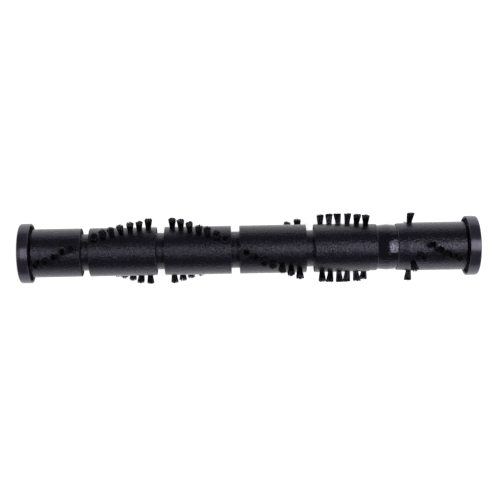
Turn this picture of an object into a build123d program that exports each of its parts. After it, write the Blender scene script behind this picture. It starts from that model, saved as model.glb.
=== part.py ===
from build123d import *
import os
from collections import namedtuple
from math import atan2, cos, degrees, floor, radians, tan

# Vacuum brush roll: a grooved roller with two helical rows of bristle tufts, turning on a fixed axle
# between two end caps. Sizes are in millimetres and angles in degrees. The roll lies along X with its
# middle at the origin and +Z up.

# Roller, stretch by stretch from its left end
LEFT_SEGMENT_LENGTH = 35.25
MIDDLE_SEGMENT_LENGTH = 48.0
MIDDLE_SEGMENT_COUNT = 3
BELT_SIDE_SEGMENT_LENGTH = 39.5
LEFT_COLLAR_WIDTH = 5.8
BELT_SEAT_WIDTH = 14.1
RIGHT_COLLAR_WIDTH = 6.8
RIGHT_SEGMENT_LENGTH = 43.05
GROOVE_WIDTH = 6.0

# Roller, across
ROLLER_DIAMETER = 35.0
ROLLER_BORE_DIAMETER = 10.0
GROOVE_DEPTH = 4.25
COLLAR_STEP = 0.55
COLLAR_CHAMFER = 0.5
RIGHT_COLLAR_RISE = 0.4
BELT_CROWN_DEPTH = 0.9
BELT_EDGE_DEPTH = 1.6
BELT_CROWN_ROUNDING = 1.2
GROOVE_CHAMFER = 0.25
ROLLER_END_CHAMFER = 0.8

# Bristle tufts, folded over flat wire anchors in blind holes
TUFT_PITCH = 6.35
TUFT_HOLE_DIAMETER = 4.0
TUFT_HOLE_DEPTH = 6.0
TUFT_EDGE_WALL = 0.5
TUFT_EXPOSED_LENGTH = 7.5
TUFT_TIP_WIDTH = 6.0
TUFT_FIT = 0.08
TUFT_SIDES = 8
TUFT_ROW_COUNT = 2
ANCHOR_HEIGHT = 1.6
ANCHOR_THICKNESS = 0.35
ANCHOR_SIDE_GAP = 0.2
ANCHOR_FIT = 0.04

# Axle with a double flat at each end
AXLE_DIAMETER = 6.0
AXLE_FLAT_DEPTH = 0.6
AXLE_GRIP = 4.0
AXLE_END_GAP = 0.2
AXLE_CHAMFER = 0.4
AXLE_FIT = 0.02

# Flanged bearing bushes, pressed into the roller
BUSH_LENGTH = 12.0
BUSH_FLANGE_DIAMETER = 14.0
BUSH_FLANGE_THICKNESS = 1.6
BUSH_RECESS = 0.6
BUSH_FLANGE_FIT = 0.1
BUSH_RUNNING_CLEARANCE = 0.03
BUSH_CHAMFER = 0.4

# Thrust washers and felt seals
WASHER_DIAMETER = 9.6
WASHER_THICKNESS = 0.6
WASHER_FIT = 0.05
END_FLOAT = 0.2
FELT_THICKNESS = 1.7
FELT_GAP = 0.3
FELT_FIT = 0.1
FELT_INSET = 0.6

# End caps, cupped over the roller's necks
NECK_LENGTH = 2.75
NECK_GAP = 5.8
CAP_DIAMETER = 43.4
CAP_GAP = 0.75
CAP_WALL = 1.4
CAP_WEB = 2.0
CAP_FACE_RECESS = 2.0
CAP_FACE_WIDTH = 3.0
CAP_TAPER_LENGTH = 2.8
CAP_TAPER_DEPTH = 0.2
CAP_EDGE_CHAMFER = 0.6
CAP_LIP_CHAMFER = 0.3
CAP_LIP_BEVEL = 0.8
CAP_HUB_DIAMETER = 11.0
CAP_BOSS_DIAMETER = 13.0
CAP_BOSS_COVER = 1.2
CAP_RIB_COUNT = 6
CAP_RIB_THICKNESS = 1.6
CAP_RIB_INSET = 0.5

# Runs of tufts. Each starts a lead-in after its segment's left edge, at an angle counted from +Z towards
# +Y, and turns by a step at every tuft until the segment or the run's own count ends. The rows form a
# chevron with its point at the second groove, and close up again beside the belt seat.
TuftRun = namedtuple("TuftRun", "segment lead_in first_angle angle_step most")
WHOLE_SEGMENT = 99
TUFT_RUNS = [
    TuftRun(1, 4.55, -23.3, 7.4, WHOLE_SEGMENT),
    TuftRun(2, 4.5, 27.0, 6.7, WHOLE_SEGMENT),
    TuftRun(3, 5.8, 68.0, -8.2, WHOLE_SEGMENT),
    TuftRun(4, 4.8, -6.5, -8.3, WHOLE_SEGMENT),
    TuftRun(5, 5.2, -74.0, -8.0, WHOLE_SEGMENT),
    TuftRun(6, 2.9, 78.0, 0.0, 1),
    TuftRun(6, 3.8, -41.0, 21.0, 2),
    TuftRun(6, 3.8 + 2 * TUFT_PITCH, 1.0, -8.0, WHOLE_SEGMENT),
]

# Worked out: radii
roller_radius = ROLLER_DIAMETER / 2
bore_radius = ROLLER_BORE_DIAMETER / 2
groove_radius = roller_radius - GROOVE_DEPTH
collar_radius = roller_radius - COLLAR_STEP
crown_radius = roller_radius - BELT_CROWN_DEPTH
seat_edge_radius = roller_radius - BELT_EDGE_DEPTH
hole_radius = TUFT_HOLE_DIAMETER / 2
hole_floor_radius = roller_radius - TUFT_HOLE_DEPTH
axle_radius = AXLE_DIAMETER / 2
flange_radius = BUSH_FLANGE_DIAMETER / 2
flange_seat_radius = flange_radius + BUSH_FLANGE_FIT
cap_radius = CAP_DIAMETER / 2
cavity_radius = cap_radius - CAP_WALL
neck_radius = cavity_radius - NECK_GAP
hub_radius = CAP_HUB_DIAMETER / 2
boss_radius = CAP_BOSS_DIAMETER / 2
taper_end_radius = cap_radius - CAP_TAPER_DEPTH
face_outer_radius = taper_end_radius - CAP_EDGE_CHAMFER
face_inner_radius = face_outer_radius - CAP_FACE_WIDTH

# Worked out: places along X, counted outwards from the middle
grooved_length = LEFT_SEGMENT_LENGTH + MIDDLE_SEGMENT_COUNT * MIDDLE_SEGMENT_LENGTH
grooved_length += (MIDDLE_SEGMENT_COUNT + 1) * GROOVE_WIDTH + BELT_SIDE_SEGMENT_LENGTH
belt_length = LEFT_COLLAR_WIDTH + BELT_SEAT_WIDTH + RIGHT_COLLAR_WIDTH
roller_end = (grooved_length + belt_length + RIGHT_SEGMENT_LENGTH) / 2
neck_end = roller_end + NECK_LENGTH
bush_face = neck_end - BUSH_RECESS
flange_seat = bush_face - BUSH_FLANGE_THICKNESS
washer_face = bush_face + END_FLOAT
hub_end = washer_face + WASHER_THICKNESS
axle_end = hub_end + AXLE_GRIP
bore_end = axle_end + AXLE_END_GAP
boss_face = bore_end + CAP_BOSS_COVER
felt_face = neck_end + FELT_GAP
web_inside = felt_face + FELT_THICKNESS
web_outside = web_inside + CAP_WEB
cap_face = web_outside + CAP_FACE_RECESS
cap_lip = roller_end + CAP_GAP

Segment = namedtuple("Segment", "start end")


def lay_out_segments():
    """Places the tufted segments from left to right, with the grooves and the belt seat between them."""
    lengths = [LEFT_SEGMENT_LENGTH]
    lengths += [MIDDLE_SEGMENT_LENGTH] * MIDDLE_SEGMENT_COUNT
    lengths += [BELT_SIDE_SEGMENT_LENGTH]
    segments = []
    start = -roller_end
    for length in lengths:
        segments.append(Segment(start, start + length))
        start += length + GROOVE_WIDTH
    segments.append(Segment(roller_end - RIGHT_SEGMENT_LENGTH, roller_end))
    return segments


SEGMENTS = lay_out_segments()
belt_segment = SEGMENTS[-2]
last_segment = SEGMENTS[-1]


def turned(*edges):
    """Turns a closed half section, drawn with X along the axis and Y as the radius, about the X axis."""
    return revolve(make_face(edges), axis=Axis.X)


def groove_outline(start, end):
    """Section points of one groove between two segments, with its mouth chamfered."""
    mouth = roller_radius - GROOVE_CHAMFER
    return [
        (start - GROOVE_CHAMFER, roller_radius),
        (start, mouth),
        (start, groove_radius),
        (end, groove_radius),
        (end, mouth),
        (end + GROOVE_CHAMFER, roller_radius),
    ]


def make_roller_blank():
    """The roller turned in one piece: necks, grooves, collars, crowned belt seat and stepped bore."""
    seat_start = belt_segment.end + LEFT_COLLAR_WIDTH
    seat_end = seat_start + BELT_SEAT_WIDTH
    seat_middle = (seat_start + seat_end) / 2
    left = [
        (-flange_seat, bore_radius),
        (-flange_seat, flange_seat_radius),
        (-neck_end, flange_seat_radius),
        (-neck_end, neck_radius),
        (-roller_end, neck_radius),
        (-roller_end, roller_radius - ROLLER_END_CHAMFER),
        (-roller_end + ROLLER_END_CHAMFER, roller_radius),
    ]
    for before, after in zip(SEGMENTS[:-2], SEGMENTS[1:-1]):
        left += groove_outline(before.end, after.start)
    left += [
        (belt_segment.end, roller_radius),
        (belt_segment.end, collar_radius),
        (seat_start - COLLAR_CHAMFER, collar_radius),
        (seat_start, collar_radius - COLLAR_CHAMFER),
        (seat_start, seat_edge_radius),
    ]
    rise = atan2(crown_radius - seat_edge_radius, BELT_SEAT_WIDTH / 2)
    shoulder_radius = crown_radius - BELT_CROWN_ROUNDING * tan(rise)
    crown = [
        (seat_middle - BELT_CROWN_ROUNDING, shoulder_radius),
        (seat_middle, shoulder_radius + BELT_CROWN_ROUNDING * tan(rise / 2)),
        (seat_middle + BELT_CROWN_ROUNDING, shoulder_radius),
    ]
    right = [
        (seat_end, seat_edge_radius),
        (seat_end, collar_radius - COLLAR_CHAMFER),
        (seat_end + COLLAR_CHAMFER, collar_radius),
        (last_segment.start, collar_radius + RIGHT_COLLAR_RISE),
        (last_segment.start, roller_radius),
        (roller_end - ROLLER_END_CHAMFER, roller_radius),
        (roller_end, roller_radius - ROLLER_END_CHAMFER),
        (roller_end, neck_radius),
        (neck_end, neck_radius),
        (neck_end, flange_seat_radius),
        (flange_seat, flange_seat_radius),
        (flange_seat, bore_radius),
        (-flange_seat, bore_radius),
    ]
    return turned(
        *Polyline(*left, crown[0]).edges(),
        ThreePointArc(*crown),
        *Polyline(crown[-1], *right).edges(),
    )


def tuft_places(segment_number, row):
    """Where the tufts of one row stand on a segment: on the axis, with local Z pointing out of the hole."""
    segment = SEGMENTS[segment_number - 1]
    last_station = segment.end - hole_radius - TUFT_EDGE_WALL
    places = []
    for run in TUFT_RUNS:
        if run.segment != segment_number:
            continue
        first_station = segment.start + run.lead_in
        fitting = floor((last_station - first_station) / TUFT_PITCH) + 1
        for index in range(min(fitting, run.most)):
            angle = run.first_angle + index * run.angle_step + row * 360 / TUFT_ROW_COUNT
            places.append(Pos(X=first_station + index * TUFT_PITCH) * Rot(X=-angle))
    return places


def make_tuft():
    """One tuft on the axis: a straight root with a notch for its anchor, flaring to the tip."""
    root_radius = hole_radius - TUFT_FIT
    root_outline = RegularPolygon(root_radius, TUFT_SIDES)
    root = extrude(Pos(Z=hole_floor_radius) * root_outline, TUFT_HOLE_DEPTH)
    bundle = extrude(Pos(Z=roller_radius) * root_outline, TUFT_EXPOSED_LENGTH)
    side_spread = (TUFT_TIP_WIDTH / 2 - root_radius) * cos(radians(180 / TUFT_SIDES))
    flare_angle = degrees(atan2(side_spread, TUFT_EXPOSED_LENGTH))
    bundle_sides = bundle.faces().filter_by(Axis.Z, reverse=True)
    flare = draft(bundle_sides, Plane.XY.offset(roller_radius), -flare_angle)
    notch = Box(
        TUFT_HOLE_DIAMETER,
        ANCHOR_THICKNESS + 2 * ANCHOR_FIT,
        ANCHOR_HEIGHT + ANCHOR_FIT,
        align=(Align.CENTER, Align.CENTER, Align.MIN),
    )
    return root + flare - Pos(Z=hole_floor_radius) * notch


def make_anchor():
    """One flat wire anchor, standing on the floor of its hole with its width along the roll."""
    plate = Box(
        TUFT_HOLE_DIAMETER - 2 * ANCHOR_SIDE_GAP,
        ANCHOR_THICKNESS,
        ANCHOR_HEIGHT,
        align=(Align.CENTER, Align.CENTER, Align.MIN),
    )
    return Pos(Z=hole_floor_radius) * plate


def make_tuft_core():
    """The moulding core of one tuft's blind hole, running on past the roller's surface."""
    core_outline = RegularPolygon(hole_radius, TUFT_SIDES)
    return extrude(Pos(Z=hole_floor_radius) * core_outline, TUFT_HOLE_DEPTH + TUFT_EXPOSED_LENGTH)


def make_axle():
    """The fixed axle: a round bar with two flats at each end, which key the end caps."""
    bar = turned(
        *Polyline(
            (-axle_end, 0),
            (-axle_end, axle_radius - AXLE_CHAMFER),
            (-axle_end + AXLE_CHAMFER, axle_radius),
            (axle_end - AXLE_CHAMFER, axle_radius),
            (axle_end, axle_radius - AXLE_CHAMFER),
            (axle_end, 0),
            (-axle_end, 0),
        ).edges()
    )
    flat = Box(AXLE_GRIP, AXLE_DIAMETER, AXLE_FLAT_DEPTH, align=(Align.MIN, Align.CENTER, Align.MIN))
    for turn in (0, 180):
        for half_turn in (0, 180):
            flat_place = Rot(Z=turn) * Rot(X=half_turn) * Pos(hub_end, 0, axle_radius - AXLE_FLAT_DEPTH)
            bar -= flat_place * flat
    return bar


def make_bush():
    """The right bush: a sleeve running on the axle, with a thrust flange seated in the roller's neck."""
    inner_end = bush_face - BUSH_LENGTH
    running_radius = axle_radius + BUSH_RUNNING_CLEARANCE
    return turned(
        *Polyline(
            (inner_end, running_radius),
            (inner_end, bore_radius - BUSH_CHAMFER),
            (inner_end + BUSH_CHAMFER, bore_radius),
            (flange_seat, bore_radius),
            (flange_seat, flange_radius),
            (bush_face - BUSH_CHAMFER, flange_radius),
            (bush_face, flange_radius - BUSH_CHAMFER),
            (bush_face, running_radius),
            (inner_end, running_radius),
        ).edges()
    )


def make_ring(start, end, inner_radius, outer_radius):
    """A plain flat ring about the axis."""
    corners = [(start, inner_radius), (start, outer_radius), (end, outer_radius), (end, inner_radius)]
    return turned(*Polyline(*corners, close=True).edges())


def make_end_cap():
    """The right cap: a thin bevelled rim and a web, a keyed hub inside, and a ribbed recess in its face."""
    cap = turned(
        *Polyline(
            (boss_face, 0),
            (hub_end, 0),
            (hub_end, hub_radius),
            (web_inside, hub_radius),
            (web_inside, cavity_radius),
            (cap_lip + CAP_LIP_BEVEL, cavity_radius),
            (cap_lip, cavity_radius + CAP_LIP_BEVEL),
            (cap_lip, cap_radius - CAP_LIP_CHAMFER),
            (cap_lip + CAP_LIP_CHAMFER, cap_radius),
            (cap_face - CAP_TAPER_LENGTH, cap_radius),
            (cap_face - CAP_EDGE_CHAMFER, taper_end_radius),
            (cap_face, face_outer_radius),
            (cap_face, face_inner_radius),
            (web_outside, face_inner_radius),
            (web_outside, boss_radius),
            (boss_face, boss_radius),
            (boss_face, 0),
        ).edges()
    )
    rib_length = face_inner_radius - boss_radius + 2 * CAP_RIB_INSET
    rib = Box(
        CAP_FACE_RECESS - CAP_RIB_INSET,
        CAP_RIB_THICKNESS,
        rib_length,
        align=(Align.MIN, Align.CENTER, Align.MIN),
    )
    for index in range(CAP_RIB_COUNT):
        rib_turn = Rot(X=index * 360 / CAP_RIB_COUNT)
        cap += rib_turn * Pos(web_outside, 0, boss_radius - CAP_RIB_INSET) * rib
    keyed_width = AXLE_DIAMETER - 2 * AXLE_FLAT_DEPTH + 2 * AXLE_FIT
    socket_start = Plane(origin=(hub_end, 0, 0), x_dir=(0, 1, 0), z_dir=(1, 0, 0))
    socket_outline = Circle(axle_radius + AXLE_FIT) & Rectangle(AXLE_DIAMETER + 1, keyed_width)
    return cap - extrude(socket_start * socket_outline, bore_end - hub_end)


def write_node(name, *solids):
    """Writes one named piece, or a group of like pieces, as a STEP file."""
    export_step(Compound(list(solids)), f"parts/{name}.step")


def main():
    """Builds every piece and writes it under its own name."""
    os.makedirs("parts", exist_ok=True)
    tuft = make_tuft().solid()
    anchor = make_anchor().solid()
    core = make_tuft_core().solid()
    cores = []
    anchors = []
    for number in range(1, len(SEGMENTS) + 1):
        for row in range(TUFT_ROW_COUNT):
            places = tuft_places(number, row)
            cores += [place * core for place in places]
            anchors += [place * anchor for place in places]
            write_node(f"segment_{number}_tufts_{'ab'[row]}", *[place * tuft for place in places])
    write_node("tuft_anchors", *anchors)
    write_node("roller_body", (make_roller_blank() - cores).solid())
    write_node("axle", make_axle().solid())
    right_pieces = {
        "bearing_bush": make_bush(),
        "thrust_washer": make_ring(washer_face, hub_end, axle_radius + WASHER_FIT, WASHER_DIAMETER / 2),
        "felt_seal": make_ring(felt_face, web_inside, hub_radius + FELT_FIT, neck_radius - FELT_INSET),
        "end_cap": make_end_cap(),
    }
    for name, piece in right_pieces.items():
        write_node(f"right_{name}", piece.solid())
        write_node(f"left_{name}", mirror(piece, about=Plane.YZ).solid())


main()
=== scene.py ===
"""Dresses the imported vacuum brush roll: bristles, moulded and metal finishes, studio light and camera."""

import logging
import math
from dataclasses import dataclass, field
from enum import Enum

import bpy
import numpy as np
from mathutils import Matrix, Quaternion, Vector


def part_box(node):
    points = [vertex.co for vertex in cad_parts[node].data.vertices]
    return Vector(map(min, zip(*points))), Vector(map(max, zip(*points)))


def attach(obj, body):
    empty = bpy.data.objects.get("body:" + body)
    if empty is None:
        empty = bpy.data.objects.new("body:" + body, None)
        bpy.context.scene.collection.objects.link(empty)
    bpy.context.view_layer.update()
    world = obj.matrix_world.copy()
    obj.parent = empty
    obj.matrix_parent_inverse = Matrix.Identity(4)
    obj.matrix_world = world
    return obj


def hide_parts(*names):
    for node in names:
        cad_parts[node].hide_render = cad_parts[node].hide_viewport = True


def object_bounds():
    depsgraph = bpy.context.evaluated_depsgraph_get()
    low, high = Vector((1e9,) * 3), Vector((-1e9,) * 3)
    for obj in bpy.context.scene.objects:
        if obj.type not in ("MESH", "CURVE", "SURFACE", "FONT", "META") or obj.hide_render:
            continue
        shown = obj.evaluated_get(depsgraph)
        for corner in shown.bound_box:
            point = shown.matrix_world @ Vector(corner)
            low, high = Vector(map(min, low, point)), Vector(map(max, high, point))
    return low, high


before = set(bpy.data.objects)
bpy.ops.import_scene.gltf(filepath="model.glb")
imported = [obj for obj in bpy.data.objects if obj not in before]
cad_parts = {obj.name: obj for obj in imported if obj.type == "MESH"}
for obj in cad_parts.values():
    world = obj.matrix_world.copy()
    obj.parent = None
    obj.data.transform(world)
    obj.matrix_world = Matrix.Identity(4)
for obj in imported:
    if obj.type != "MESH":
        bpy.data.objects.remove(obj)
CAD_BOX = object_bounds()

MM = 0.001
IMAGE_SIDE_PX = 500
ROLLER_NODE = "roller_body"

# The Mix node has several sockets of one name, so those for numbers and for colours are given by place.
MIX_A = 2
MIX_B = 3
MIX_COLOUR_A = 6
MIX_COLOUR_B = 7
MIX_COLOUR_RESULT = 2

# The turn from one point to the next that fills a round hole evenly, as seeds fill a sunflower's head.
GOLDEN_TURN = math.pi * (3.0 - math.sqrt(5.0))

log = logging.getLogger("brush_roll")


class Side(Enum):
    """The two ends of the roll, as the CAD nodes there are named."""

    LEFT = "left"
    RIGHT = "right"


def linear(hex_colour: str) -> tuple[float, float, float, float]:
    """Turns an sRGB hex colour to the linear values that shaders take, by the standard's own constants.

    Args:
        hex_colour: six hex digits.

    Returns:
        Linear red, green and blue, and an alpha of one.
    """
    shares = [int(hex_colour[start:start + 2], 16) / 255 for start in (0, 2, 4)]
    red, green, blue = [s / 12.92 if s <= 0.04045 else ((s + 0.055) / 1.055) ** 2.4 for s in shares]
    return (red, green, blue, 1.0)


def per_metre(size_mm: float) -> float:
    """Gives the texture scale whose pattern repeats about every size_mm on Object coordinates."""
    return 1.0 / (size_mm * MM)


def add_node(
    tree: bpy.types.NodeTree,
    kind: str,
    settings: dict[str, object] | None = None,
    inputs: dict[str | int, object] | None = None,
) -> bpy.types.Node:
    """Adds a shader node with its settings, and sets or links its inputs.

    Args:
        tree: the node tree that gets the node.
        kind: the node's type name.
        settings: the node's own properties by name.
        inputs: a value or an output socket for each named or numbered input.

    Returns:
        The new node.
    """
    node = tree.nodes.new(kind)
    for name, value in (settings or {}).items():
        setattr(node, name, value)
    for name, value in (inputs or {}).items():
        if isinstance(value, bpy.types.NodeSocket):
            tree.links.new(value, node.inputs[name])
        else:
            node.inputs[name].default_value = value
    return node


def new_material(name: str) -> tuple[bpy.types.Material, bpy.types.NodeTree, bpy.types.NodeSocket]:
    """Starts an empty node material.

    Args:
        name: the material's name.

    Returns:
        The material, its tree and the surface socket of its output.
    """
    material = bpy.data.materials.new(name)
    material.use_nodes = True
    tree = material.node_tree
    tree.nodes.clear()
    output = add_node(tree, "ShaderNodeOutputMaterial")
    return material, tree, output.inputs["Surface"]


def deselect_all() -> None:
    """Leaves object mode with nothing selected and nothing active."""
    if bpy.context.object and bpy.context.object.mode != "OBJECT":
        bpy.ops.object.mode_set(mode="OBJECT")
    bpy.ops.object.select_all(action="DESELECT")
    bpy.context.view_layer.objects.active = None


@dataclass(frozen=True)
class RubbedBand:
    """A stretch along the roll's axis that a belt has rubbed glossy, with fine moulded ribs that grip it.

    The belt leaves only the share grain_left of the mould's grain. The ribs lie along the axis and are
    rib_stretch times as long as they are wide.
    """

    middle_mm: float
    width_mm: float
    roughness: float
    grain_left: float
    rib_mm: float
    rib_stretch: float
    rib_height_mm: float
    rib_detail: float = 1.0


@dataclass(frozen=True)
class MouldedPlastic:
    """Black plastic as it leaves the mould.

    A spark-eroded mould leaves a fine grain that breaks a highlight into sparkling points, and the
    black pigment has a cold violet cast. The grain is drawn coarser than life so that it shows. A face
    is a wall where the square of its normal's share along the axis is over wall_squareness.
    """

    name: str
    dark: str
    light: str
    roughness: float
    roughness_spread: float
    grain_mm: float
    grain_height_mm: float
    mottle_mm: float
    ior: float
    rubbed: RubbedBand | None = None
    wall_roughness: float | None = None
    wall_squareness: float = 0.8
    tint: str = "ece6ff"
    grain_detail: float = 3.0
    grain_breakup: float = 0.6
    grain_low: float = 0.3
    grain_high: float = 0.7
    mottle_detail: float = 2.0

    def material(self) -> bpy.types.Material:
        """Builds the finish.

        Returns:
            The node material.
        """
        material, tree, surface = new_material(self.name)
        place = add_node(tree, "ShaderNodeTexCoord").outputs["Object"]
        grain = add_node(
            tree,
            "ShaderNodeTexNoise",
            inputs={
                "Vector": place,
                "Scale": per_metre(self.grain_mm),
                "Detail": self.grain_detail,
                "Roughness": self.grain_breakup,
            },
        )
        mottle = add_node(
            tree,
            "ShaderNodeTexNoise",
            inputs={"Vector": place, "Scale": per_metre(self.mottle_mm), "Detail": self.mottle_detail},
        )
        colour = add_node(
            tree,
            "ShaderNodeMix",
            {"data_type": "RGBA"},
            {
                "Factor": mottle.outputs["Fac"],
                MIX_COLOUR_A: linear(self.dark),
                MIX_COLOUR_B: linear(self.light),
            },
        )
        roughness = add_node(
            tree,
            "ShaderNodeMapRange",
            inputs={
                "Value": grain.outputs["Fac"],
                "From Min": self.grain_low,
                "From Max": self.grain_high,
                "To Min": self.roughness - self.roughness_spread,
                "To Max": self.roughness + self.roughness_spread,
            },
        )
        bump = add_node(
            tree,
            "ShaderNodeBump",
            inputs={"Height": grain.outputs["Fac"], "Strength": 1.0, "Distance": self.grain_height_mm * MM},
        )
        shader = add_node(
            tree,
            "ShaderNodeBsdfPrincipled",
            inputs={
                "Base Color": colour.outputs[MIX_COLOUR_RESULT],
                "Roughness": roughness.outputs["Result"],
                "IOR": self.ior,
                "Specular Tint": linear(self.tint),
                "Normal": bump.outputs["Normal"],
            },
        )
        if self.rubbed is not None:
            self.rub(tree, place, shader, bump)
        if self.wall_roughness is not None:
            self.roughen_walls(tree, shader)
        tree.links.new(shader.outputs["BSDF"], surface)
        return material

    def roughen_walls(self, tree: bpy.types.NodeTree, shader: bpy.types.Node) -> None:
        """Leaves the faces square to the axis dull, which keeps the grooves dark beside a bright table.

        Args:
            tree: the finish's node tree.
            shader: the shader, whose roughness changes on those faces.
        """
        facing = add_node(tree, "ShaderNodeTexCoord").outputs["Normal"]
        along = add_node(tree, "ShaderNodeSeparateXYZ", inputs={"Vector": facing}).outputs["X"]
        squared = add_node(
            tree,
            "ShaderNodeMath",
            {"operation": "MULTIPLY"},
            {0: along, 1: along},
        )
        on_wall = add_node(
            tree,
            "ShaderNodeMath",
            {"operation": "GREATER_THAN"},
            {0: squared.outputs["Value"], 1: self.wall_squareness},
        )
        outside = shader.inputs["Roughness"].links[0].from_socket
        dulled = add_node(
            tree,
            "ShaderNodeMix",
            inputs={"Factor": on_wall.outputs["Value"], MIX_A: outside, MIX_B: self.wall_roughness},
        )
        tree.links.new(dulled.outputs["Result"], shader.inputs["Roughness"])

    def rub(
        self,
        tree: bpy.types.NodeTree,
        place: bpy.types.NodeSocket,
        shader: bpy.types.Node,
        bump: bpy.types.Node,
    ) -> None:
        """Gives the rubbed band its gloss and its ribs, which draw a highlight out round the roll.

        Args:
            tree: the finish's node tree.
            place: the Object coordinates.
            shader: the shader, whose roughness and normal change on the band.
            bump: the bump of the grain, which is worn down on the band.
        """
        band = self.rubbed
        along = add_node(tree, "ShaderNodeSeparateXYZ", inputs={"Vector": place})
        on_band = add_node(
            tree,
            "ShaderNodeMath",
            {"operation": "COMPARE"},
            {0: along.outputs["X"], 1: band.middle_mm * MM, 2: band.width_mm * MM / 2},
        ).outputs["Value"]
        grain_roughness = shader.inputs["Roughness"].links[0].from_socket
        gloss = add_node(
            tree,
            "ShaderNodeMix",
            inputs={"Factor": on_band, MIX_A: grain_roughness, MIX_B: band.roughness},
        )
        worn = add_node(
            tree,
            "ShaderNodeMix",
            inputs={"Factor": on_band, MIX_A: 1.0, MIX_B: band.grain_left},
        )
        drawn = add_node(
            tree,
            "ShaderNodeMapping",
            inputs={"Vector": place, "Scale": (1.0 / band.rib_stretch, 1.0, 1.0)},
        )
        ribs = add_node(
            tree,
            "ShaderNodeTexNoise",
            inputs={
                "Vector": drawn.outputs["Vector"],
                "Scale": per_metre(band.rib_mm),
                "Detail": band.rib_detail,
            },
        )
        ribbed = add_node(
            tree,
            "ShaderNodeBump",
            inputs={
                "Strength": on_band,
                "Distance": band.rib_height_mm * MM,
                "Height": ribs.outputs["Fac"],
                "Normal": bump.outputs["Normal"],
            },
        )
        tree.links.new(gloss.outputs["Result"], shader.inputs["Roughness"])
        tree.links.new(worn.outputs["Result"], bump.inputs["Strength"])
        tree.links.new(ribbed.outputs["Normal"], shader.inputs["Normal"])


@dataclass(frozen=True)
class ExtrudedNylon:
    """Black nylon filament, drawn from a die and cut: a soft cold sheen along it, and its tips painted
    lighter, partly for the cut ends' own tone and partly as a painted highlight where the tips catch the
    light.
    """

    name: str = "nylon_black_drawn_filament"
    dark: str = "030304"
    light: str = "09080c"
    # The tip colour is lighter than the body: partly the cut ends' own tone, partly a painted highlight.
    tip: str = "0d0c10"
    roughness: float = 0.24
    ior: float = 1.53
    tint: str = "e2def2"
    tone_attribute: str = "filament_tone"
    height_attribute: str = "filament_height"
    tip_highlight_start: float = 0.93

    def material(self) -> bpy.types.Material:
        """Builds the finish, which reads each filament's tone and height from the mesh.

        Returns:
            The node material.
        """
        material, tree, surface = new_material(self.name)
        tone = add_node(tree, "ShaderNodeAttribute", {"attribute_name": self.tone_attribute})
        height = add_node(tree, "ShaderNodeAttribute", {"attribute_name": self.height_attribute})
        body = add_node(
            tree,
            "ShaderNodeMix",
            {"data_type": "RGBA"},
            {
                "Factor": tone.outputs["Fac"],
                MIX_COLOUR_A: linear(self.dark),
                MIX_COLOUR_B: linear(self.light),
            },
        )
        # Lightens each filament towards its tip: a painted highlight where the tips catch the light, over
        # the cut ends' own lighter tone.
        tip_highlight_share = add_node(
            tree,
            "ShaderNodeMapRange",
            inputs={"Value": height.outputs["Fac"], "From Min": self.tip_highlight_start, "From Max": 1.0},
        )
        colour = add_node(
            tree,
            "ShaderNodeMix",
            {"data_type": "RGBA"},
            {
                "Factor": tip_highlight_share.outputs["Result"],
                MIX_COLOUR_A: body.outputs[MIX_COLOUR_RESULT],
                MIX_COLOUR_B: linear(self.tip),
            },
        )
        shader = add_node(
            tree,
            "ShaderNodeBsdfPrincipled",
            inputs={
                "Base Color": colour.outputs[MIX_COLOUR_RESULT],
                "Roughness": self.roughness,
                "IOR": self.ior,
                "Specular Tint": linear(self.tint),
            },
        )
        tree.links.new(shader.outputs["BSDF"], surface)
        return material


@dataclass(frozen=True)
class WorkedMetal:
    """Bare metal with fine marks from its making, drawn out along the roll's axis or left even.

    A mark is stretch times as long as it is wide.
    """

    name: str
    dark: str
    light: str
    roughness: float
    roughness_spread: float
    mark_mm: float
    stretch: float
    mark_height_mm: float
    mark_detail: float = 4.0

    def material(self) -> bpy.types.Material:
        """Builds the finish.

        Returns:
            The node material.
        """
        material, tree, surface = new_material(self.name)
        place = add_node(tree, "ShaderNodeTexCoord").outputs["Object"]
        drawn = add_node(
            tree,
            "ShaderNodeMapping",
            inputs={"Vector": place, "Scale": (1.0 / self.stretch, 1.0, 1.0)},
        )
        marks = add_node(
            tree,
            "ShaderNodeTexNoise",
            inputs={
                "Vector": drawn.outputs["Vector"],
                "Scale": per_metre(self.mark_mm),
                "Detail": self.mark_detail,
            },
        )
        colour = add_node(
            tree,
            "ShaderNodeMix",
            {"data_type": "RGBA"},
            {
                "Factor": marks.outputs["Fac"],
                MIX_COLOUR_A: linear(self.dark),
                MIX_COLOUR_B: linear(self.light),
            },
        )
        roughness = add_node(
            tree,
            "ShaderNodeMapRange",
            inputs={
                "Value": marks.outputs["Fac"],
                "To Min": self.roughness - self.roughness_spread,
                "To Max": self.roughness + self.roughness_spread,
            },
        )
        bump = add_node(
            tree,
            "ShaderNodeBump",
            inputs={"Height": marks.outputs["Fac"], "Strength": 1.0, "Distance": self.mark_height_mm * MM},
        )
        shader = add_node(
            tree,
            "ShaderNodeBsdfPrincipled",
            inputs={
                "Base Color": colour.outputs[MIX_COLOUR_RESULT],
                "Metallic": 1.0,
                "Roughness": roughness.outputs["Result"],
                "Normal": bump.outputs["Normal"],
            },
        )
        tree.links.new(shader.outputs["BSDF"], surface)
        return material


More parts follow.
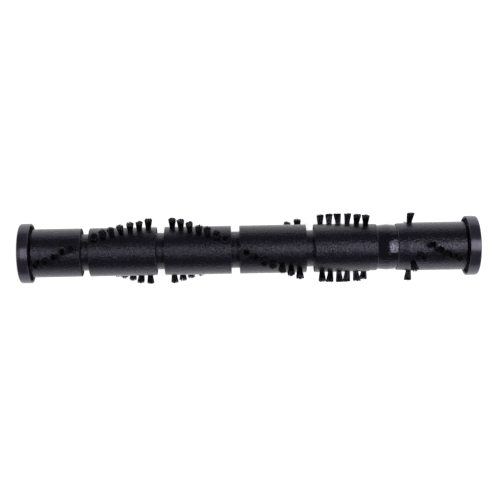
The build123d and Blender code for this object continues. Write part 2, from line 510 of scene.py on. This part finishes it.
@dataclass(frozen=True)
class PressedFelt:
    """Grey wool felt, pressed in a sheet and punched: matted fibres and a soft fuzzy edge light."""

    name: str = "wool_felt_grey_pressed"
    dark: str = "3d3a36"
    light: str = "837e76"
    roughness: float = 0.95
    fibre_mm: float = 0.35
    fibre_height_mm: float = 0.15
    fibre_detail: float = 5.0
    fibre_tangle: float = 1.5
    sheen: float = 0.4

    def material(self) -> bpy.types.Material:
        """Builds the finish.

        Returns:
            The node material.
        """
        material, tree, surface = new_material(self.name)
        place = add_node(tree, "ShaderNodeTexCoord").outputs["Object"]
        fibres = add_node(
            tree,
            "ShaderNodeTexNoise",
            inputs={
                "Vector": place,
                "Scale": per_metre(self.fibre_mm),
                "Detail": self.fibre_detail,
                "Distortion": self.fibre_tangle,
            },
        )
        colour = add_node(
            tree,
            "ShaderNodeMix",
            {"data_type": "RGBA"},
            {
                "Factor": fibres.outputs["Fac"],
                MIX_COLOUR_A: linear(self.dark),
                MIX_COLOUR_B: linear(self.light),
            },
        )
        bump = add_node(
            tree,
            "ShaderNodeBump",
            inputs={"Height": fibres.outputs["Fac"], "Strength": 1.0, "Distance": self.fibre_height_mm * MM},
        )
        shader = add_node(
            tree,
            "ShaderNodeBsdfPrincipled",
            inputs={
                "Base Color": colour.outputs[MIX_COLOUR_RESULT],
                "Roughness": self.roughness,
                "Sheen Weight": self.sheen,
                "Normal": bump.outputs["Normal"],
            },
        )
        tree.links.new(shader.outputs["BSDF"], surface)
        return material


@dataclass(frozen=True)
class LitTable:
    """Matt white acrylic lit from below, as on a product table: it leaves no shadow round the roll."""

    name: str = "acrylic_white_matt_backlit"
    dark: str = "f3f3f3"
    light: str = "fafafa"
    roughness: float = 0.85
    patch_mm: float = 60.0
    glow: float = 0.9

    def material(self) -> bpy.types.Material:
        """Builds the finish.

        Returns:
            The node material.
        """
        material, tree, surface = new_material(self.name)
        place = add_node(tree, "ShaderNodeTexCoord").outputs["Object"]
        patches = add_node(
            tree,
            "ShaderNodeTexNoise",
            inputs={"Vector": place, "Scale": per_metre(self.patch_mm)},
        )
        colour = add_node(
            tree,
            "ShaderNodeMix",
            {"data_type": "RGBA"},
            {
                "Factor": patches.outputs["Fac"],
                MIX_COLOUR_A: linear(self.dark),
                MIX_COLOUR_B: linear(self.light),
            },
        )
        shader = add_node(
            tree,
            "ShaderNodeBsdfPrincipled",
            inputs={
                "Base Color": colour.outputs[MIX_COLOUR_RESULT],
                "Roughness": self.roughness,
                "Emission Color": linear(self.light),
                "Emission Strength": self.glow,
            },
        )
        tree.links.new(shader.outputs["BSDF"], surface)
        return material


def dress(node: str, material: bpy.types.Material) -> None:
    """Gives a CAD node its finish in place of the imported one.

    Args:
        node: the CAD node's name.
        material: the finish for all its faces.
    """
    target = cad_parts[node]
    for slot in target.material_slots:
        slot.material = material
    if not target.material_slots:
        target.data.materials.append(material)
    log.info("dressed %s in %s", node, material.name)


@dataclass
class Roller:
    """The grooved roller with its crowned belt seat."""

    finish: MouldedPlastic = MouldedPlastic(
        name="polypropylene_black_spark_eroded_mould",
        dark="15141b",
        light="1f1d26",
        roughness=0.26,
        roughness_spread=0.1,
        grain_mm=1.2,
        grain_height_mm=0.3,
        mottle_mm=9.0,
        ior=1.49,
        wall_roughness=0.9,
        rubbed=RubbedBand(
            middle_mm=99.35,
            width_mm=14.1,
            roughness=0.1,
            grain_left=0.03,
            rib_mm=0.5,
            rib_stretch=11.0,
            rib_height_mm=0.17,
        ),
    )

    def build(self) -> None:
        """Dresses the roller."""
        dress(ROLLER_NODE, self.finish.material())


@dataclass
class EndCaps:
    """The two fixed caps at the ends of the roll."""

    finish: MouldedPlastic = MouldedPlastic(
        name="polycarbonate_black_satin_mould",
        dark="2a2733",
        light="34313d",
        roughness=0.26,
        roughness_spread=0.04,
        grain_mm=0.8,
        grain_height_mm=0.02,
        mottle_mm=12.0,
        ior=1.585,
    )

    def build(self) -> None:
        """Dresses both caps."""
        material = self.finish.material()
        for side in Side:
            dress(f"{side.value}_end_cap", material)


@dataclass
class Bearings:
    """The axle and what runs on it: bushes, washers, felt seals, and the tufts' wire anchors."""

    axle_finish: WorkedMetal = WorkedMetal(
        name="steel_bright_drawn_bar",
        dark="8b8c8e",
        light="c9cacc",
        roughness=0.28,
        roughness_spread=0.1,
        mark_mm=0.25,
        stretch=40.0,
        mark_height_mm=0.004,
    )
    bush_finish: WorkedMetal = WorkedMetal(
        name="bronze_sintered_oiled",
        dark="6d4a25",
        light="a57a45",
        roughness=0.5,
        roughness_spread=0.12,
        mark_mm=0.3,
        stretch=1.0,
        mark_height_mm=0.03,
    )
    washer_finish: WorkedMetal = WorkedMetal(
        name="steel_stamped_washer",
        dark="7e7f82",
        light="b4b5b8",
        roughness=0.38,
        roughness_spread=0.1,
        mark_mm=0.5,
        stretch=1.0,
        mark_height_mm=0.006,
    )
    anchor_finish: WorkedMetal = WorkedMetal(
        name="steel_rolled_flat_wire",
        dark="77787b",
        light="a9aaad",
        roughness=0.35,
        roughness_spread=0.1,
        mark_mm=0.2,
        stretch=8.0,
        mark_height_mm=0.004,
    )
    felt_finish: PressedFelt = PressedFelt()

    def build(self) -> None:
        """Dresses every inner piece."""
        dress("axle", self.axle_finish.material())
        dress("tuft_anchors", self.anchor_finish.material())
        bush = self.bush_finish.material()
        washer = self.washer_finish.material()
        felt = self.felt_finish.material()
        for side in Side:
            dress(f"{side.value}_bearing_bush", bush)
            dress(f"{side.value}_thrust_washer", washer)
            dress(f"{side.value}_felt_seal", felt)


@dataclass(frozen=True)
class TuftPlace:
    """Where one tuft of the CAD model stands, in metres: its station on the axis, direction and reach."""

    station: float
    outward: Vector
    root_radius: float
    tip_radius: float
    tip_height: float


@dataclass
class BristleRows:
    """The two helical rows of tufts, each a bundle of cut filaments that flares out of its hole.

    Filaments are fewer and thicker than life, which holds their faces down. A crowding of a half fills
    a hole evenly, and a smaller one leaves more filaments near its edge. A flare_power of one makes the
    flare a straight cone, and a larger one lets it open later. Angles are in radians.
    """

    filament_diameter: float = 0.4 * MM
    filaments_per_tuft: int = 110
    filament_sides: int = 5
    filament_cuts: int = 4
    root_depth: float = 3.0 * MM
    tip_taper: float = 0.8
    crowding: float = 0.42
    flare_power: float = 1.1
    angle_jitter: float = 0.2
    spread: float = 0.16 * MM
    lean: float = 0.55 * MM
    ragged: float = 0.38 * MM
    weld: float = 0.001 * MM
    seed: int = 20
    body: str = "roller"
    slot: str = "bristle_nylon"
    finish: ExtrudedNylon = field(default_factory=ExtrudedNylon)

    def build(self) -> None:
        """Makes one bristle piece for every tuft node of the CAD model, carries it on the roller and hides
        that node.
        """
        surface_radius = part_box(ROLLER_NODE)[1].z
        filament = self.model_filament()
        material = self.finish.material()
        draws = np.random.default_rng(self.seed)
        for node in sorted(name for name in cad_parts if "_tufts_" in name):
            places = self.places_of(node)
            piece = self.bundle(node.replace("tufts", "bristles"), filament, places, surface_radius, draws)
            piece.data.materials.append(material)
            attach(piece, self.body)
            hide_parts(node)
            log.info("made %s with %d tufts", piece.name, len(places))
        bpy.data.objects.remove(filament)

    def model_filament(self) -> bpy.types.Object:
        """Models one straight filament of unit length along Z, with rings to bend it at.

        Returns:
            The filament, which is copied into every tuft and then removed.
        """
        length = 1.0
        ring_gap = length / (self.filament_cuts + 1)
        deselect_all()
        bpy.ops.mesh.primitive_cylinder_add(
            vertices=self.filament_sides,
            radius=self.filament_diameter / 2,
            depth=length,
            location=(0, 0, length / 2),
        )
        filament = bpy.context.object
        filament.name = "filament"
        bpy.ops.object.transform_apply(location=True, rotation=False, scale=False)
        bpy.ops.object.mode_set(mode="EDIT")
        bpy.ops.mesh.select_all(action="DESELECT")
        bpy.ops.object.mode_set(mode="OBJECT")
        bpy.context.tool_settings.mesh_select_mode = (False, True, False)
        for edge in filament.data.edges:
            low, high = (filament.data.vertices[index].co.z for index in edge.vertices)
            edge.select = abs(high - low) > length / 2
        bpy.ops.object.mode_set(mode="EDIT")
        bpy.ops.mesh.subdivide(number_cuts=self.filament_cuts)
        bpy.ops.mesh.select_all(action="DESELECT")
        bpy.ops.object.mode_set(mode="OBJECT")
        bpy.context.tool_settings.mesh_select_mode = (True, False, False)
        for vertex in filament.data.vertices:
            vertex.select = vertex.co.z > length - ring_gap / 2
        bpy.ops.object.mode_set(mode="EDIT")
        bpy.ops.transform.resize(value=(self.tip_taper, self.tip_taper, 1.0))
        bpy.ops.object.mode_set(mode="OBJECT")
        return filament

    def places_of(self, node: str) -> list[TuftPlace]:
        """Reads from the CAD model where a node's tufts stand.

        Args:
            node: the CAD node, whose tufts are separate solids.

        Returns:
            A place for each tuft, from left to right.
        """
        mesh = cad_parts[node].data
        points = np.empty(len(mesh.vertices) * 3)
        mesh.vertices.foreach_get("co", points)
        points = points.reshape(-1, 3)
        _, welded = np.unique(np.round(points / self.weld).astype(int), axis=0, return_inverse=True)
        welded = welded.ravel()
        corners = np.array([[welded[index] for index in face.vertices] for face in mesh.polygons])
        labels = np.arange(welded.max() + 1)
        settled = False
        while not settled:
            joined = labels.copy()
            np.minimum.at(joined, corners, labels[corners].min(axis=1, keepdims=True))
            settled = bool((joined == labels).all())
            labels = joined
        owners = labels[welded]
        places = [self.place_of(points[owners == label]) for label in np.unique(owners)]
        return sorted(places, key=lambda place: place.station)

    def place_of(self, points: np.ndarray) -> TuftPlace:
        """Measures one tuft solid.

        Args:
            points: the solid's vertices.

        Returns:
            Its place and reach.
        """
        station = (points[:, 0].min() + points[:, 0].max()) / 2
        _, centre_y, centre_z = points.mean(axis=0)
        outward = Vector((0.0, centre_y, centre_z)).normalized()
        heights = points @ np.array(outward)
        across = points - np.outer(heights, outward) - np.array((station, 0.0, 0.0))
        widths = np.linalg.norm(across, axis=1)
        reach = heights.max()
        half = (heights.min() + reach) / 2
        return TuftPlace(
            station=station,
            outward=outward,
            root_radius=widths[heights < half].max(),
            tip_radius=widths[heights > half].max(),
            tip_height=reach,
        )

    def bundle(
        self,
        name: str,
        filament: bpy.types.Object,
        places: list[TuftPlace],
        surface_radius: float,
        draws: np.random.Generator,
    ) -> bpy.types.Object:
        """Copies the filament into every tuft of a node and joins the copies to one piece.

        Args:
            name: the piece's name.
            filament: the modelled filament.
            places: the tufts' places.
            surface_radius: the roller's radius, where the holes open.
            draws: the source of random numbers.

        Returns:
            The bristle piece, at the origin with its place in its mesh.
        """
        template = np.array([vertex.co for vertex in filament.data.vertices])
        template_faces = [tuple(face.vertices) for face in filament.data.polygons]
        vertices: list[np.ndarray] = []
        faces: list[tuple[int, ...]] = []
        tones: list[np.ndarray] = []
        for place in places:
            for points, tone in self.tuft(template, place, surface_radius, draws):
                start = len(vertices) * len(template)
                vertices.append(points)
                faces += [tuple(start + index for index in face) for face in template_faces]
                tones.append(np.full(len(template), tone))
        mesh = bpy.data.meshes.new(name)
        mesh.from_pydata(np.concatenate(vertices).tolist(), [], faces)
        shading = {
            self.finish.height_attribute: np.tile(template[:, 2], len(vertices)),
            self.finish.tone_attribute: np.concatenate(tones),
        }
        for attribute, values in shading.items():
            layer = mesh.attributes.new(attribute, "FLOAT", "POINT")
            layer.data.foreach_set("value", values.astype(np.float32))
        mesh.shade_smooth()
        piece = bpy.data.objects.new(name, mesh)
        bpy.context.scene.collection.objects.link(piece)
        return piece

    def tuft(
        self,
        template: np.ndarray,
        place: TuftPlace,
        surface_radius: float,
        draws: np.random.Generator,
    ) -> list[tuple[np.ndarray, float]]:
        """Bends copies of the filament into one tuft: packed in the hole, flaring and leaning to the tip.

        Args:
            template: the straight filament's vertices.
            place: where the tuft stands.
            surface_radius: the roller's radius, where the hole opens.
            draws: the source of random numbers.

        Returns:
            The vertices and the tone of each filament.
        """
        outward = np.array(place.outward)
        along = np.array((1.0, 0.0, 0.0))
        sideways = np.cross(outward, along)
        floor_height = surface_radius - self.root_depth
        exposed = place.tip_height - surface_radius
        packed = place.root_radius - self.filament_diameter / 2
        flare = (place.tip_radius - self.filament_diameter / 2) / packed - 1.0
        lean = draws.normal(0.0, self.lean, 2)
        made = []
        for index in range(self.filaments_per_tuft):
            filled = (index + 0.5) / self.filaments_per_tuft
            reach = packed * filled**self.crowding
            angle = index * GOLDEN_TURN + draws.normal(0.0, self.angle_jitter)
            root = reach * np.array((math.cos(angle), math.sin(angle)))
            drift = draws.normal(0.0, self.spread, 2)
            tip = place.tip_height - abs(draws.normal(0.0, self.ragged))
            heights = floor_height + template[:, 2] * (tip - floor_height)
            rise = np.clip((heights - surface_radius) / exposed, 0.0, 1.0)
            bend = rise**self.flare_power
            offsets = np.outer(1.0 + flare * bend, root) + np.outer(bend, lean + drift) + template[:, :2]
            points = np.outer(heights, outward) + np.outer(offsets[:, 0] + place.station, along)
            points += np.outer(offsets[:, 1], sideways)
            made.append((points, float(draws.uniform())))
        return made


@dataclass(frozen=True)
class SoftBox:
    """One lamp of the studio: the middle of its face, its width and length in metres, its power in watts."""

    place: tuple[float, float, float]
    width: float
    length: float
    power: float


@dataclass
class Studio:
    """A white table top, two strip boxes beside the camera and a dim room with a low white wall.

    Lengths are in metres, apart from the sensor's width in millimetres and the place of the roll's
    middle in the picture, in pixels from its left and top. The wall's top and the height where the room
    is dark are given as the sine of their angle over the horizon.
    """

    camera_place: tuple[float, float, float] = (-14.0 * MM, 0.0, 815.0 * MM)
    pixel_size: float = 0.7262 * MM
    object_middle_px: tuple[float, float] = (249.3, 249.4)
    picture_tilt: float = math.radians(1.07)
    sensor_width: float = 36.0
    floor_side: float = 40.0
    floor_gap: float = 0.2 * MM
    boxes: tuple[SoftBox, ...] = (
        SoftBox(place=(-0.47, 0.0, 1.35), width=0.12, length=0.86, power=3.5),
        SoftBox(place=(0.6, 0.0, 1.35), width=0.11, length=0.86, power=8.2),
    )
    box_colour: str = "fdfbff"
    wall_colour: str = "d8d8da"
    dark_colour: str = "3a3a3f"
    wall_top: float = math.sin(math.radians(3.0))
    dark_from: float = math.sin(math.radians(8.0))
    finish: LitTable = LitTable()

    def build(self) -> None:
        """Sets up the table, the lights, the room and the camera."""
        self.make_floor()
        for box in self.boxes:
            self.make_light(box)
        self.make_room()
        self.make_camera()

    def make_floor(self) -> None:
        """Lays the table top just under the bristle tips."""
        deselect_all()
        height = CAD_BOX[0].z - self.floor_gap
        bpy.ops.mesh.primitive_plane_add(size=self.floor_side, location=(0, 0, height))
        floor = bpy.context.object
        floor.name = "table_top"
        bpy.ops.object.transform_apply(location=True, rotation=False, scale=False)
        floor.data.materials.append(self.finish.material())

    def make_light(self, box: SoftBox) -> None:
        """Hangs one soft box and turns it to the roll, with its length across the roll.

        Args:
            box: the lamp's place, size and power.
        """
        light = bpy.data.lights.new("soft_box", "AREA")
        light.shape = "RECTANGLE"
        light.size = box.width
        light.size_y = box.length
        light.energy = box.power
        light.color = linear(self.box_colour)[:3]
        lamp = bpy.data.objects.new("soft_box", light)
        lamp.location = box.place
        lamp.rotation_euler = (-Vector(box.place)).to_track_quat("-Z", "X").to_euler()
        bpy.context.scene.collection.objects.link(lamp)

    def make_room(self) -> None:
        """Puts a low white wall round the table that fades into a dim room overhead."""
        world = bpy.data.worlds.new("dim_room")
        world.use_nodes = True
        tree = world.node_tree
        direction = add_node(tree, "ShaderNodeTexCoord").outputs["Generated"]
        rise = add_node(tree, "ShaderNodeSeparateXYZ", inputs={"Vector": direction}).outputs["Z"]
        fade = add_node(
            tree,
            "ShaderNodeMapRange",
            {"interpolation_type": "SMOOTHSTEP"},
            {"Value": rise, "From Min": self.wall_top, "From Max": self.dark_from},
        )
        colour = add_node(
            tree,
            "ShaderNodeMix",
            {"data_type": "RGBA"},
            {
                "Factor": fade.outputs["Result"],
                MIX_COLOUR_A: linear(self.wall_colour),
                MIX_COLOUR_B: linear(self.dark_colour),
            },
        )
        tree.links.new(colour.outputs[MIX_COLOUR_RESULT], tree.nodes["Background"].inputs["Color"])
        bpy.context.scene.world = world

    def make_camera(self) -> None:
        """Points the camera down at the roll, turned as the roll is tilted in the picture."""
        right_px, down_px = self.object_middle_px
        aim_x = (IMAGE_SIDE_PX / 2 - right_px) * self.pixel_size
        aim_y = (down_px - IMAGE_SIDE_PX / 2) * self.pixel_size
        sight = Vector((aim_x, aim_y, 0.0)) - Vector(self.camera_place)
        data = bpy.data.cameras.new("camera")
        data.sensor_width = self.sensor_width
        data.lens = self.sensor_width * sight.length / (IMAGE_SIDE_PX * self.pixel_size)
        camera = bpy.data.objects.new("camera", data)
        camera.location = self.camera_place
        lean = Vector((0.0, 0.0, -1.0)).rotation_difference(sight)
        turn = Quaternion((0.0, 0.0, 1.0), -self.picture_tilt)
        camera.rotation_euler = (lean @ turn).to_euler()
        bpy.context.scene.collection.objects.link(camera)
        bpy.context.scene.camera = camera


def main() -> None:
    """Builds the dressed roll and its studio."""
    logging.basicConfig(level=logging.INFO, format="%(name)s: %(message)s")
    Roller().build()
    EndCaps().build()
    Bearings().build()
    BristleRows().build()
    Studio().build()
    bpy.context.scene.view_settings.view_transform = "Standard"


if __name__ == "__main__":
    main()
